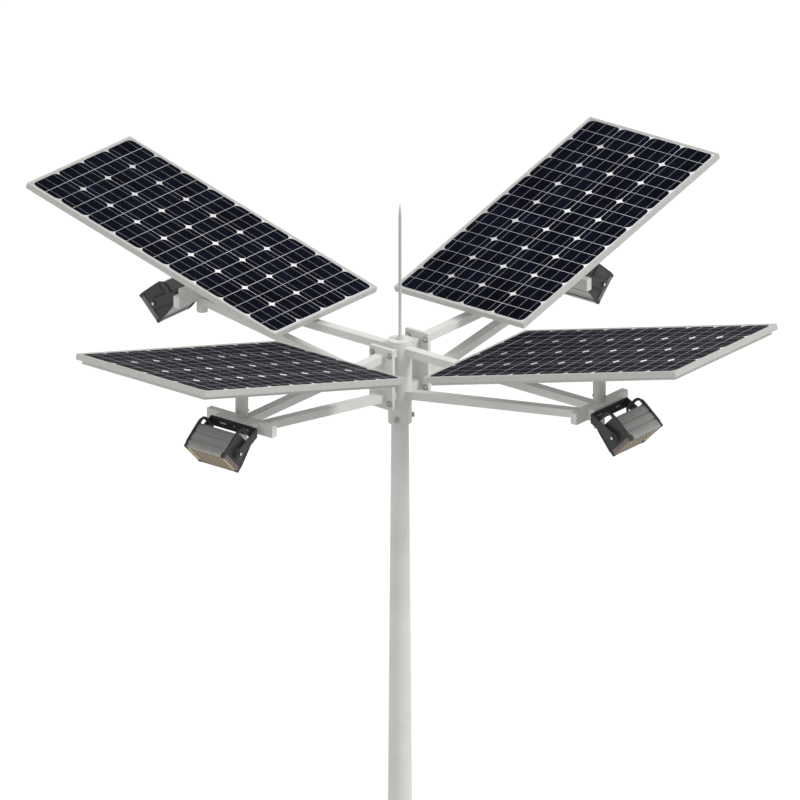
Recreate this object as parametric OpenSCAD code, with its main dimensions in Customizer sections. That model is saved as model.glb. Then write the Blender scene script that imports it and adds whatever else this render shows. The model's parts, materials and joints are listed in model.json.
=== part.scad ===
// Solar mast light: a tapered steel mast with a hub sleeve, four arms, four tilted solar
// panels and four tilting floodlights. Origin at the centre of the base flange's underside.

/* [Mast] */
// Height of the hub's top above the foundation
hub_top_h = 6000; // [4200:10:9000]
// Outer diameter of the mast at its top, where the sleeve sits over it
mast_top_d = 72; // [66:1:80]
// Outer diameter of the mast at its foot
mast_base_d = 164; // [140:1:210]
// Wall of the mast
mast_wall = 4; // [3:0.5:6]

/* [Base flange] */
// Side of the square base flange
base_side = 400; // [360:5:520]
// Thickness of the base flange
base_t = 20; // [14:1:30]
// Corner radius of the base flange
base_corner_r = 20; // [5:1:35]
// Distance between neighbouring anchor holes
anchor_pitch = 300; // [270:5:320]
// Diameter of an anchor hole
anchor_hole_d = 28; // [18:1:34]
// Diameter of the cable hole in the base flange
cable_hole_d = 100; // [60:5:120]
// Height of the gussets
gusset_h = 170; // [80:5:240]
// Thickness of the gussets
gusset_t = 10; // [6:1:16]
// Distance of a gusset's foot from the flange's edge
gusset_inset = 14; // [5:1:30]

/* [Service door] */
// Width of the door opening
door_w = 85; // [60:1:100]
// Height of the door opening
door_h = 320; // [200:5:400]
// Height of the door opening's lower edge
door_z = 520; // [300:10:900]
// Lap of the cover over the opening
door_lap = 12; // [6:1:20]
// Thickness of the cover
door_cover_t = 3; // [2:0.5:5]

/* [Hub] */
// Outer diameter of the hub sleeve
sleeve_d = 98; // [94:1:120]
// Length of the hub with its cap
hub_l = 360; // [340:5:460]
// Wall of the hub sleeve
sleeve_wall = 6; // [4:0.5:7]
// Thickness of the hub's cap
cap_t = 6; // [4:1:12]
// Height of the set screws above the sleeve's lower edge
set_screw_up = 24; // [15:1:40]
// Diameter of the set screws
set_screw_d = 12; // [8:1:14]
// Length of the lightning rod
rod_l = 600; // [300:10:900]
// Diameter of the lightning rod
rod_d = 13; // [8:1:20]
// Length of the rod's pointed tip
rod_tip_l = 55; // [20:1:90]

/* [Arm joints] */
// Distance of the bolted flange joint from the mast's axis
joint_r = 117; // [100:1:160]
// Width of the joint plates
plate_w = 120; // [100:1:150]
// Height of the joint plates
plate_h = 265; // [255:1:290]
// Thickness of the joint plates
plate_t = 8; // [5:1:12]
// Centre of the joint plates below the hub's top
plate_drop = 131; // [128:1:140]
// Distance between the joint bolts across the plate
bolt_pitch_w = 89; // [80:1:96]
// Distance between the joint bolts along the plate
bolt_pitch_h = 209; // [190:1:226]
// Diameter of the joint bolt holes
bolt_hole_d = 13; // [9:1:17]

/* [Arms] */
// Distance of the crossbars and panel centres from the mast's axis
arm_r = 1030; // [860:5:1240]
// Width of the arm tubes
tube_w = 40; // [30:1:50]
// Height of the arm tubes
tube_h = 33; // [25:1:36]
// Wall of the arm tubes
tube_wall = 2.5; // [2:0.5:4]
// Depth of the beam's top below the hub's top
beam_drop = 27; // [22:1:32]
// Depth of the strut's top below the hub's top at the sleeve
strut_drop = 213; // [190:1:222]
// Depth of the strut's top below the hub's top at the crossbar
strut_end_drop = 64; // [62:1:70]

/* [Crossbars] */
// Length of a crossbar
crossbar_l = 338; // [280:1:420]
// Width of a crossbar along the arm
crossbar_w = 30; // [24:1:40]
// Height of a crossbar
crossbar_h = 50; // [40:1:64]
// Depth of the crossbar's top below the hub's top
crossbar_drop = 16; // [8:1:20]
// Diameter of the panel post
post_d = 46; // [42:1:56]
// Length of the post above the crossbar
post_up = 110; // [60:5:120]
// Length of the post below the crossbar
post_down = 65; // [50:1:90]
// Length of the lamp pad on the crossbar's outer face
pad_l = 192; // [150:1:220]
// Height of the lamp pad
pad_h = 50; // [44:1:60]
// Thickness of the lamp pad
pad_t = 33; // [25:1:40]

/* [Panels] */
// Width of a panel, across its arm
panel_w = 670; // [540:5:820]
// Length of a panel, along its arm
panel_l = 1340; // [1120:5:1600]
// Rise of a panel towards its outer end
panel_tilt = 15; // [5:1:18]
// Height of the panel's centre above the hub's top
panel_rise = 203; // [180:1:260]
// Depth of the panel frame
frame_h = 25; // [22:1:40]
// Width of the frame's upper lip
frame_lip = 11; // [8:1:16]
// Width of the frame's lower flange
frame_flange = 22; // [16:1:30]
// Wall of the frame
frame_wall = 2; // [1.5:0.5:3]
// Thickness of the glass and cell laminate
laminate_t = 4.5; // [3:0.5:8]
// Inset of the tray from the panel's edges
tray_inset = 20; // [0:1:40]
// Height of the tray's bars
tray_h = 15; // [10:1:30]
// Width of the tray's bars
tray_bar_w = 30; // [20:1:40]
// Distance between the tray's two cross bars, centre to centre
tray_bar_pitch = 150; // [100:5:180]
// Side of the square mounting plate under the tray
socket_plate_w = 200; // [180:5:240]
// Thickness of the mounting plate
socket_plate_t = 6; // [4:1:10]
// Wall of the socket tube
socket_wall = 3; // [2:0.5:5]
// Radial clearance between post and socket tube
socket_clearance = 0.3; // [0.1:0.1:1]

/* [Lamps] */
// Distance of the lamp's tilt axis from the mast's axis, beyond the crossbar's centre
pivot_out = 160; // [158:1:190]
// Depth of the lamp's tilt axis below the hub's top
pivot_drop = 101; // [90:1:115]
// Angle of the light's aim from straight down
lamp_aim = 45; // [20:1:70]
// Length of the lamp's extruded body
lamp_l = 190; // [155:1:230]
// Width of the light face, short side
lamp_w = 140; // [120:1:150]
// Distance from the tilt axis to the light face
lamp_front = 57; // [50:1:70]
// Distance from the tilt axis to the body's back
lamp_back = 62; // [50:1:70]
// Depth of the frame around the light face
led_frame_h = 22; // [14:1:30]
// Narrowing of the body towards its back, on each side
lamp_taper = 12; // [0:1:25]
// Thickness of the end plates
end_plate_t = 7; // [4:1:10]
// Reach of the end plates past the body's back
loop_h = 40; // [25:1:48]
// Width of the rim around the end plates' windows
loop_rim = 12; // [8:1:16]
// Width of the bosses at the tilt axis
boss_d = 36; // [26:1:44]
// Length of the bosses
boss_l = 12; // [8:1:18]
// Diameter of the pivot pins
pivot_d = 12; // [8:1:16]
// Diameter of the pivot heads
pivot_head_d = 20; // [18:1:28]
// Height of the pivot heads
pivot_head_h = 5; // [3:1:8]
// Width of the lamp bracket's strip
strip_w = 42; // [34:1:46]
// Thickness of the lamp bracket's strip
strip_t = 4; // [3:0.5:6]
// Depth of the bracket strip's centre below the hub's top
strip_drop = 45; // [40:1:48]
// Length of the bracket's fixing slots
slot_l = 36; // [20:1:50]
// Width of the bracket's fixing slots
slot_w = 9; // [6:1:12]
// Distance between the fixing slots, centre to centre
slot_pitch = 117; // [90:1:130]
// Diameter of the bracket's centre hole
centre_hole_d = 9; // [6:1:14]

/* [Hidden] */
$fn = 96;
running_clearance = 0.08;
face_clearance = 0.3;
screw_hole_clearance = 0.05;
cut_over = 5;

SIDES = ["right", "back", "left", "front"];
SIDE_ANGLES = [0, 90, 180, 270];
// The bolted arms end in joint plates; the other two are welded to the sleeve.
BOLTED = [false, true, false, true];
ARM_PIECES = [
    "beam", "strut", "crossbar", "panel_tray", "panel_frame", "panel_laminate",
    "lamp_bracket", "lamp_housing", "lamp_end_plates", "lamp_light_module"
];

// Mast and hub
sleeve_r = sleeve_d / 2;
sleeve_bore_r = sleeve_r - sleeve_wall;
hub_low_z = hub_top_h - hub_l;
mast_top_z = hub_top_h - cap_t;
mast_top_r = mast_top_d / 2;
mast_base_r = mast_base_d / 2;
set_screw_z = hub_low_z + set_screw_up;
SET_SCREW_ANGLES = [54, 174, 294];

// Arms, in the arm's own frame: X runs out along the arm
beam_top_z = hub_top_h - beam_drop;
beam_low_z = beam_top_z - tube_h;
crossbar_top_z = hub_top_h - crossbar_drop;
crossbar_low_z = crossbar_top_z - crossbar_h;
crossbar_in_x = arm_r - crossbar_w / 2;
crossbar_out_x = arm_r + crossbar_w / 2;
pad_out_x = crossbar_out_x + pad_t;
strut_slope = atan((strut_drop - strut_end_drop) / (crossbar_in_x - sleeve_r));
strut_l = (arm_r - sleeve_r) / cos(strut_slope);
plate_z = hub_top_h - plate_drop;

// Panels, in the panel's own frame: top face of the frame at z = 0
groove_top = frame_wall;
groove_low = groove_top + laminate_t;
groove_w = panel_w - 2 * frame_wall;
groove_l = panel_l - 2 * frame_wall;
frame_low = frame_h;
tray_low = frame_low + tray_h;
plate_low = tray_low + socket_plate_t;
tray_w = panel_w - 2 * tray_inset;
tray_l = panel_l - 2 * tray_inset;
post_r = post_d / 2;
socket_bore_r = post_r + socket_clearance;
socket_r = socket_bore_r + socket_wall;

// Share of the strip's width at which a bracket arm starts to slope, and the margin of its round end
knee_share = 0.7;
end_margin = 2;
// Margin of the end plates round the body, and the rounding of their loops
end_margin_back = 4;
shoulder = 26;
shoulder_mid = 12;
shoulder_drop = 6;
sill = 4;
// Grooves along the body's sides, and the light frame's rim and recess
groove_d = 4;
groove_up = 18;
light_rim = 5;
light_recess = 3;

// Lamps, in the lamp's own frame: tilt axis along Y at the origin, light face down
pivot_x = arm_r + pivot_out;
pivot_z = hub_top_h - pivot_drop;
end_out_y = lamp_l / 2 + end_plate_t;
boss_out_y = end_out_y + boss_l;
strip_in_y = boss_out_y + face_clearance;
strip_out_y = strip_in_y + strip_t;
pivot_hole_r = pivot_d / 2 + running_clearance;
strip_z = hub_top_h - strip_drop;
strip_in_x = pad_out_x;
body_front_half = lamp_w / 2 - end_margin_back;
body_back_half = body_front_half - lamp_taper;
body_low = lamp_front - led_frame_h;
bracket_dx = pivot_x - strip_in_x;
bracket_dz = pivot_z - strip_z;
bracket_angle = atan2(bracket_dz, bracket_dx);

module on_arm(i) {
    rotate([0, 0, SIDE_ANGLES[i]])
        children();
}

// A plate of size x by y with round corners, from z = 0 up to t.
module rounded_plate(x, y, t, r) {
    linear_extrude(t) {
        square([x - 2 * r, y], center = true);
        square([x, y - 2 * r], center = true);
        for (sx = [-1, 1], sy = [-1, 1])
            translate([sx * (x / 2 - r), sy * (y / 2 - r)])
                circle(r);
    }
}

// A slot through a plate: overall length l along X, width w, from z = 0 up to t.
module slot(l, w, t) {
    linear_extrude(t) {
        square([l - w, w], center = true);
        for (s = [-1, 1])
            translate([s * (l - w) / 2, 0])
                circle(w / 2);
    }
}

// A box ring: outer size x by y, hole hx by hy, between the depths top and low below z = 0.
module ring(x, y, hx, hy, top, low) {
    translate([0, 0, -low])
        linear_extrude(low - top)
            difference() {
                square([x, y], center = true);
                square([hx, hy], center = true);
            }
}

// A rectangular tube along +X from x = 0, centred on Y, with its top at z = 0.
module box_tube(l) {
    rotate([90, 0, 90])
        linear_extrude(l)
            translate([0, -tube_h / 2])
                difference() {
                    square([tube_w, tube_h], center = true);
                    square([tube_w - 2 * tube_wall, tube_h - 2 * tube_wall], center = true);
                }
}

// Everything nearer the mast's axis than x, as a block to cut with.
module block_inside(x) {
    translate([-arm_r, -plate_w, hub_top_h - 2 * hub_l])
        cube([arm_r + x, 2 * plate_w, 3 * hub_l]);
}

// Everything farther from the mast's axis than x, as a block to cut with.
module block_outside(x) {
    translate([x, -plate_w, hub_top_h - 2 * hub_l])
        cube([2 * arm_r, 2 * plate_w, 3 * hub_l]);
}

module mast_outside(grow = 0) {
    translate([0, 0, base_t])
        cylinder(h = hub_low_z - base_t, r1 = mast_base_r + grow, r2 = mast_top_r + grow);
}

module base_flange() {
    color("#e4e4e0")
        difference() {
            rounded_plate(base_side, base_side, base_t, base_corner_r);
            translate([0, 0, -cut_over])
                cylinder(h = base_t + 2 * cut_over, d = cable_hole_d);
            for (sx = [-1, 1], sy = [-1, 1])
                translate([sx * anchor_pitch / 2, sy * anchor_pitch / 2, -cut_over])
                    cylinder(h = base_t + 2 * cut_over, d = anchor_hole_d);
        }
}

module base_gussets() {
    color("#e4e4e0")
        difference() {
            for (a = [0:90:270])
                rotate([0, 0, a])
                    gusset();
            mast_outside();
        }
}

// A triangular web that stands on the flange and leans on the mast.
module gusset() {
    foot_x = base_side / 2 - gusset_inset;
    toe_h = 12;
    translate([0, gusset_t / 2, base_t])
        rotate([90, 0, 0])
            linear_extrude(gusset_t)
                polygon([
                    [mast_base_r / 2, 0], [foot_x, 0], [foot_x, toe_h],
                    [mast_base_r, gusset_h], [mast_base_r / 2, gusset_h]
                ]);
}

module mast_tube() {
    inner_base_r = mast_base_r - mast_wall;
    inner_top_r = mast_top_r - mast_wall;
    color("#e9e9e6")
        difference() {
            rotate_extrude()
                polygon([
                    [inner_base_r, base_t], [mast_base_r, base_t], [mast_top_r, hub_low_z],
                    [mast_top_r, mast_top_z], [inner_top_r, mast_top_z], [inner_top_r, hub_low_z]
                ]);
            door_block(door_w, door_h, 0);
        }
}

// The door's outline, swept out from the mast's axis on the side between two arms.
module door_block(w, h, lap) {
    rotate([0, 0, 225])
        translate([0, 0, door_z + door_h / 2])
            rotate([90, 0, 90])
                rounded_plate(w + 2 * lap, h + 2 * lap, mast_base_d, w / 4 + lap);
}

module service_cover() {
    color("#e4e4e0")
        intersection() {
            difference() {
                mast_outside(door_cover_t);
                mast_outside();
            }
            door_block(door_w, door_h, door_lap);
        }
}

module hub_sleeve() {
    color("#e9e9e6")
        difference() {
            translate([0, 0, hub_low_z])
                cylinder(h = hub_l - cap_t, r = sleeve_r);
            translate([0, 0, hub_low_z - cut_over])
                cylinder(h = hub_l + cut_over, r = sleeve_bore_r);
            for (a = SET_SCREW_ANGLES)
                rotate([0, 0, a])
                    translate([0, 0, set_screw_z])
                        rotate([0, 90, 0])
                            cylinder(h = sleeve_d, d = set_screw_d + 2 * screw_hole_clearance);
        }
}

module hub_cap() {
    color("#e9e9e6")
        translate([0, 0, hub_top_h - cap_t])
            cylinder(h = cap_t, r = sleeve_r);
}

// Three hexagon screws that centre the sleeve on the mast.
module hub_set_screws() {
    head_h = 7;
    head_gap = 3;
    color("silver")
        for (a = SET_SCREW_ANGLES)
            rotate([0, 0, a])
                translate([mast_top_r, 0, set_screw_z])
                    rotate([0, 90, 0]) {
                        cylinder(h = sleeve_r - mast_top_r + head_gap, d = set_screw_d);
                        translate([0, 0, sleeve_r - mast_top_r + head_gap])
                            cylinder(h = head_h, d = set_screw_d * 1.9, $fn = 6);
                    }
}

module lightning_rod() {
    nut_h = 10;
    color("#e9e9e6")
        translate([0, 0, hub_top_h])
            rotate_extrude()
                polygon([
                    [0, 0], [rod_d, 0], [rod_d, nut_h], [rod_d / 2, nut_h],
                    [rod_d / 2, rod_l - rod_tip_l], [0, rod_l]
                ]);
}

// The strut's tube on its sloping line, longer than needed at both ends.
module strut_line() {
    translate([sleeve_r, 0, hub_top_h - strut_drop])
        rotate([0, -strut_slope, 0])
            translate([-sleeve_d, 0, 0])
                box_tube(strut_l + 2 * sleeve_d);
}

module joint_plate(x) {
    difference() {
        translate([x, 0, plate_z])
            rotate([0, 90, 0])
                rounded_plate(plate_h, plate_w, plate_t, 4);
        for (sy = [-1, 1], sz = [-1, 1])
            translate([x - cut_over, sy * bolt_pitch_w / 2, plate_z + sz * bolt_pitch_h / 2])
                rotate([0, 90, 0])
                    cylinder(h = plate_t + 2 * cut_over, d = bolt_hole_d);
    }
}

// Two short tubes on the sleeve that carry the hub's half of a bolted joint.
module hub_stub() {
    stub_end_x = joint_r - plate_t;
    color("#e9e9e6") {
        joint_plate(stub_end_x);
        difference() {
            translate([0, 0, beam_top_z])
                box_tube(stub_end_x);
            cylinder(h = hub_top_h, r = sleeve_r);
        }
        difference() {
            strut_line();
            cylinder(h = hub_top_h, r = sleeve_r);
            block_inside(0);
            block_outside(stub_end_x);
        }
    }
}

// The post and crossbar that the arm's tubes are welded to.
module crossbar_space() {
    translate([arm_r, 0, crossbar_low_z - post_down])
        cylinder(h = crossbar_h + post_down + cut_over, r = post_r);
    translate([crossbar_in_x, -plate_w, crossbar_low_z])
        cube([crossbar_w, 2 * plate_w, crossbar_h]);
}

module beam(bolted) {
    start_x = bolted ? joint_r + plate_t : 0;
    color("#e9e9e6") {
        if (bolted)
            joint_plate(joint_r);
        difference() {
            translate([start_x, 0, beam_top_z])
                box_tube(crossbar_in_x - start_x);
            if (!bolted)
                cylinder(h = hub_top_h, r = sleeve_r);
            crossbar_space();
        }
    }
}

module strut(bolted) {
    color("#e9e9e6")
        difference() {
            strut_line();
            if (bolted)
                block_inside(joint_r + plate_t);
            else
                cylinder(h = hub_top_h, r = sleeve_r);
            block_inside(0);
            block_outside(arm_r);
            crossbar_space();
            translate([0, -plate_w, beam_low_z])
                cube([arm_r, 2 * plate_w, hub_l]);
        }
}

module crossbar() {
    color("#dededa") {
        translate([crossbar_in_x, -crossbar_l / 2, crossbar_low_z])
            cube([crossbar_w, crossbar_l, crossbar_h]);
        translate([arm_r, 0, crossbar_low_z - post_down])
            cylinder(h = post_down + crossbar_h + post_up, r = post_r);
        translate([crossbar_out_x, -pad_l / 2, crossbar_top_z - pad_h])
            cube([pad_t, pad_l, pad_h]);
    }
}

module on_panel() {
    translate([arm_r, 0, hub_top_h + panel_rise])
        rotate([0, -panel_tilt, 0])
            children();
}

// Ring, two cross bars and a plate, with the socket tube that slips over the post.
module panel_tray() {
    color("#dededa")
        difference() {
            union() {
                on_panel() {
                    ring(tray_l, tray_w, tray_l - 2 * tray_bar_w, tray_w - 2 * tray_bar_w,
                         frame_low, tray_low);
                    for (s = [-1, 1])
                        translate([s * tray_bar_pitch / 2 - tray_bar_w / 2, -tray_w / 2, -tray_low])
                            cube([tray_bar_w, tray_w, tray_h]);
                    translate([0, 0, -plate_low])
                        rounded_plate(socket_plate_w, socket_plate_w, socket_plate_t, 8);
                }
                difference() {
                    translate([arm_r, 0, crossbar_top_z])
                        cylinder(h = crossbar_drop + panel_rise, r = socket_r);
                    on_panel()
                        translate([-panel_w / 2, -panel_w / 2, -plate_low + socket_plate_t / 2])
                            cube([panel_w, panel_w, panel_w]);
                }
            }
            translate([arm_r, 0, crossbar_top_z - cut_over])
                cylinder(h = cut_over + post_up + cut_over, r = socket_bore_r);
        }
}

// An extruded aluminium channel around the laminate: lip, groove, web and lower flange.
module panel_frame() {
    color("#e2e3e1")
        on_panel() {
            ring(panel_l, panel_w, panel_l - 2 * frame_lip, panel_w - 2 * frame_lip, 0, groove_top);
            ring(panel_l, panel_w, groove_l, groove_w, groove_top, groove_low);
            ring(panel_l, panel_w, panel_l - 2 * frame_lip, panel_w - 2 * frame_lip,
                 groove_low, groove_low + frame_wall);
            ring(panel_l, panel_w, groove_l, groove_w, groove_low + frame_wall, frame_h - frame_wall);
            ring(panel_l, panel_w, panel_l - 2 * frame_flange, panel_w - 2 * frame_flange,
                 frame_h - frame_wall, frame_h);
        }
}

module panel_laminate() {
    color("#0b0d18")
        on_panel()
            translate([-groove_l / 2, -groove_w / 2, -groove_low])
                cube([groove_l, groove_w, laminate_t]);
}

// One flat side arm of the lamp bracket, from the strip's bend to the round end at the pivot.
module bracket_side() {
    end_r = strip_w / 2 + end_margin;
    translate([strip_in_x, strip_t / 2, strip_z])
        rotate([90, 0, 0])
            linear_extrude(strip_t)
                difference() {
                    union() {
                        side_outline();
                        translate([bracket_dx, bracket_dz])
                            circle(end_r);
                    }
                    translate([bracket_dx, bracket_dz])
                        circle(pivot_hole_r);
                }
}

// The side arm's outline in the X-Z plane: upright at the strip, then sloping to the pivot.
module side_outline() {
    half = strip_w / 2;
    knee = strip_w * knee_share;
    polygon([
        [0, half], [strip_t, half],
        [knee, half - (knee - strip_t) * tan(-bracket_angle)],
        [bracket_dx + half * sin(-bracket_angle), bracket_dz + half * cos(bracket_angle)],
        [bracket_dx - half * sin(-bracket_angle), bracket_dz - half * cos(bracket_angle)],
        [strip_t, -half], [0, -half]
    ]);
}

module lamp_bracket() {
    color("#26272a")
        difference() {
            union() {
                translate([strip_in_x, -strip_out_y, strip_z - strip_w / 2])
                    cube([strip_t, 2 * strip_out_y, strip_w]);
                for (s = [-1, 1])
                    translate([0, s * (strip_in_y + strip_t / 2), 0])
                        bracket_side();
            }
            for (s = [-1, 1])
                translate([strip_in_x - cut_over, s * slot_pitch / 2, strip_z])
                    rotate([90, 0, 90])
                        slot(slot_l, slot_w, strip_t + 2 * cut_over);
            translate([strip_in_x - cut_over, 0, strip_z])
                rotate([0, 90, 0])
                    cylinder(h = strip_t + 2 * cut_over, d = centre_hole_d);
        }
}

module on_lamp() {
    translate([pivot_x, 0, pivot_z])
        rotate([0, -lamp_aim, 0])
            children();
}

// Extrudes an outline drawn in X-Z along Y, centred, by length l.
module along_y(l) {
    translate([0, l / 2, 0])
        rotate([90, 0, 0])
            linear_extrude(l)
                children();
}

// Ribbed aluminium extrusion between the end plates.
module lamp_housing() {
    color("#8d9092")
        on_lamp()
            along_y(lamp_l)
                difference() {
                    polygon([
                        [-body_front_half, -body_low], [body_front_half, -body_low],
                        [body_back_half, lamp_back], [-body_back_half, lamp_back]
                    ]);
                    for (s = [-1, 1], z = [-body_low + groove_up, lamp_back / 3])
                        translate([s * (body_front_half - (z + body_low) * lamp_taper
                                        / (lamp_back + body_low)), z])
                            circle(d = groove_d);
                }
}

// The end plate's outline: the body's section with a margin, and a loop past its back.
module end_outline(inset) {
    edge = lamp_w / 2 - inset;
    top = lamp_back + loop_h - inset;
    polygon([
        [-edge, -body_low], [edge, -body_low],
        [body_back_half + end_margin_back - inset, top - shoulder],
        [body_back_half - shoulder_mid, top - shoulder_drop],
        [body_back_half - shoulder, top], [-body_back_half + shoulder, top],
        [-body_back_half + shoulder_mid, top - shoulder_drop],
        [-body_back_half - end_margin_back + inset, top - shoulder]
    ]);
}

module lamp_end_plates() {
    window_low = lamp_back + sill;
    color("#2b2c2e")
        on_lamp()
            for (s = [-1, 1]) {
                translate([0, s * (lamp_l + end_plate_t) / 2, 0])
                    along_y(end_plate_t)
                        difference() {
                            end_outline(0);
                            intersection() {
                                end_outline(loop_rim);
                                translate([-lamp_w / 2, window_low])
                                    square([lamp_w, loop_h]);
                            }
                        }
                translate([0, s * (end_out_y + boss_l / 2), 0])
                    rotate([90, 0, 0])
                        cylinder(h = boss_l, d = boss_d, center = true);
                pivot_pin(s);
            }
}

// The pin through the bracket's side and the head outside it.
module pivot_pin(s) {
    pin_l = strip_t + 2 * face_clearance;
    translate([0, s * (boss_out_y + pin_l / 2), 0])
        rotate([90, 0, 0])
            cylinder(h = pin_l, d = pivot_d, center = true);
    translate([0, s * (boss_out_y + pin_l + pivot_head_h / 2), 0])
        rotate([90, 0, 0])
            cylinder(h = pivot_head_h, d = pivot_head_d, center = true);
}

// Frame around the light face with the lens plate set a little back in it.
module lamp_light_module() {
    color("#6d6254")
        on_lamp()
            difference() {
                translate([-lamp_w / 2, -end_out_y, -lamp_front])
                    cube([lamp_w, 2 * end_out_y, led_frame_h]);
                translate([-lamp_w / 2 + light_rim, -end_out_y + light_rim, -lamp_front - cut_over])
                    cube([lamp_w - 2 * light_rim, 2 * (end_out_y - light_rim), cut_over + light_recess]);
            }
}

base_flange();
base_gussets();
mast_tube();
service_cover();
hub_sleeve();
hub_cap();
hub_set_screws();
lightning_rod();
for (i = [0:3]) {
    if (BOLTED[i])
        on_arm(i) hub_stub();
    on_arm(i) beam(BOLTED[i]);
    on_arm(i) strut(BOLTED[i]);
    on_arm(i) crossbar();
    on_arm(i) panel_tray();
    on_arm(i) panel_frame();
    on_arm(i) panel_laminate();
    on_arm(i) lamp_bracket();
    on_arm(i) lamp_housing();
    on_arm(i) lamp_end_plates();
    on_arm(i) lamp_light_module();
}
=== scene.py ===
"""Looks of the solar mast light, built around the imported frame. Metres, +Z up."""

import json
import math

import bmesh
import bpy
import numpy as np
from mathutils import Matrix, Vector


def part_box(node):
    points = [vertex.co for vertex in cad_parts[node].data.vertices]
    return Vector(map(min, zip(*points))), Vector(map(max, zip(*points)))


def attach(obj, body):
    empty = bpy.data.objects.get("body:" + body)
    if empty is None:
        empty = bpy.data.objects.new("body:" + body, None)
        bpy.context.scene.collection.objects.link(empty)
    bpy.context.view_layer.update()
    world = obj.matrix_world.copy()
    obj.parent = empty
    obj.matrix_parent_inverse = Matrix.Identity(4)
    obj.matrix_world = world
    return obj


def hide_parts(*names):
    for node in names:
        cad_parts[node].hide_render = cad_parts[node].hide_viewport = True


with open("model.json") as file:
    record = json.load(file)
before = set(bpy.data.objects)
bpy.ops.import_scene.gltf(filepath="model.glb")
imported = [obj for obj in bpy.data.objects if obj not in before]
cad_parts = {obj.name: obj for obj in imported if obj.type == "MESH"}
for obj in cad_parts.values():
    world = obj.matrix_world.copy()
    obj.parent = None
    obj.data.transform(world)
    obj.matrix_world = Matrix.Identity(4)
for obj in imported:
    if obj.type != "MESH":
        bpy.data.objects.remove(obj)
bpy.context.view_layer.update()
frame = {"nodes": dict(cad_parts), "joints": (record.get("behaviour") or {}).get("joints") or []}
NODES = frame["nodes"]

SIDES = ("right", "back", "left", "front")
SIDE_TURN = {"right": 0, "back": 90, "left": 180, "front": 270}

# ---------------------------------------------------------------- sizes from the frame

HUB_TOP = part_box("hub_cap")[1].z
SLEEVE_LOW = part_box("hub_sleeve")[0].z
SLEEVE_R = (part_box("hub_cap")[1].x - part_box("hub_cap")[0].x) / 2
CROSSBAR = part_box("right_crossbar")
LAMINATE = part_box("right_panel_laminate")
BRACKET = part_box("right_lamp_bracket")
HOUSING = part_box("right_lamp_housing")
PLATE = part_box("front_hub_stub")
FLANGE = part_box("base_flange")
JOINT = next(j for j in frame["joints"] if j["name"] == "right_lamp_tilt")
PIVOT = np.array(JOINT["pos_m"], float)

PANEL_TILT = math.radians(15)
PANEL_W = 0.670
PANEL_L = 1.340
FRAME_LIP = 0.011
FRAME_H = 0.025
GLASS_DROP = 0.002
GLASS_T = 0.0045
FRAME_WALL = 0.0022
PANEL_CENTRE = np.array([1.030, 0.0, HUB_TOP + 0.203])
CELL_ROWS = 9
CELLS_ACROSS = 4

LAMP_AIM = math.radians(45)
LAMP_L = 0.190
END_PLATE_T = 0.007
LAMP_W = 0.140
LAMP_FRONT = 0.057
LAMP_BACK = 0.062
LED_FRAME_H = 0.022
LIGHT_HALF_L = 0.102
BODY_LOW = LAMP_FRONT - LED_FRAME_H
BODY_HALF = 0.066
BODY_BACK_HALF = 0.054
FIN_GAPS = 5
FIN_PITCH = 0.0096
FIN_DEEP = 0.007
END_CORNERS = [(0.070, -BODY_LOW), (0.058, 0.076), (0.036, 0.102), (-0.036, 0.102), (-0.058, 0.076),
               (-0.070, -BODY_LOW)]
PIVOT_HEAD_LOW = 0.1186
LENS_Z = -0.0545

BOLTED = ("back", "front")
PLATE_IN = 0.109
PLATE_OUT = 0.125
BOLT_Y = 0.0445
BOLT_Z = 0.1045
BOLT_MID = (PLATE[0].z + PLATE[1].z) / 2
STRUT_ROOT_Z = HUB_TOP - 0.2297
STRUT_SLOPE = 0.1543
SOCKET_R = 0.0263
MAST_FOOT_R = 0.082
MAST_TAPER = (0.082 - 0.036) / (SLEEVE_LOW - FLANGE[1].z)
GUSSET_T = 0.010
GUSSET_H = 0.170
GUSSET_FOOT = 0.186

AMBIENT = 0.50
FLOOR_GLOW = 0.46
SUNS = (("key", 2.0, 20, 20, 42), ("fill", 0.65, 40, -95, 25), ("top", 0.6, 50, -40, 80))


# ---------------------------------------------------------------- placing

def turn_z(points, degrees):
    """Turns points about +Z: x' = x cos a - y sin a, y' = x sin a + y cos a."""
    a = math.radians(degrees)
    c, s = math.cos(a), math.sin(a)
    p = np.asarray(points, float)
    return np.stack([c * p[..., 0] - s * p[..., 1], s * p[..., 0] + c * p[..., 1], p[..., 2]], -1)


def turn_y(points, angle):
    """Raises +X towards +Z by angle: x' = x cos a - z sin a, z' = x sin a + z cos a."""
    c, s = math.cos(angle), math.sin(angle)
    p = np.asarray(points, float)
    return np.stack([c * p[..., 0] - s * p[..., 2], p[..., 1], s * p[..., 0] + c * p[..., 2]], -1)


def on_arm(points, side):
    """From an arm's own frame, X outward along the arm, to the part's frame."""
    return turn_z(points, SIDE_TURN[side])


def on_panel(points, side):
    """From a panel's own frame, X up its slope and Z out of its glass, to the part's frame."""
    return on_arm(turn_y(points, PANEL_TILT) + PANEL_CENTRE, side)


def on_lamp(points, side):
    """From a lamp's own frame, tilt axis along Y and light face down, to the part's frame."""
    return on_arm(turn_y(points, LAMP_AIM) + PIVOT, side)


# ---------------------------------------------------------------- meshes from arrays

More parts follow.
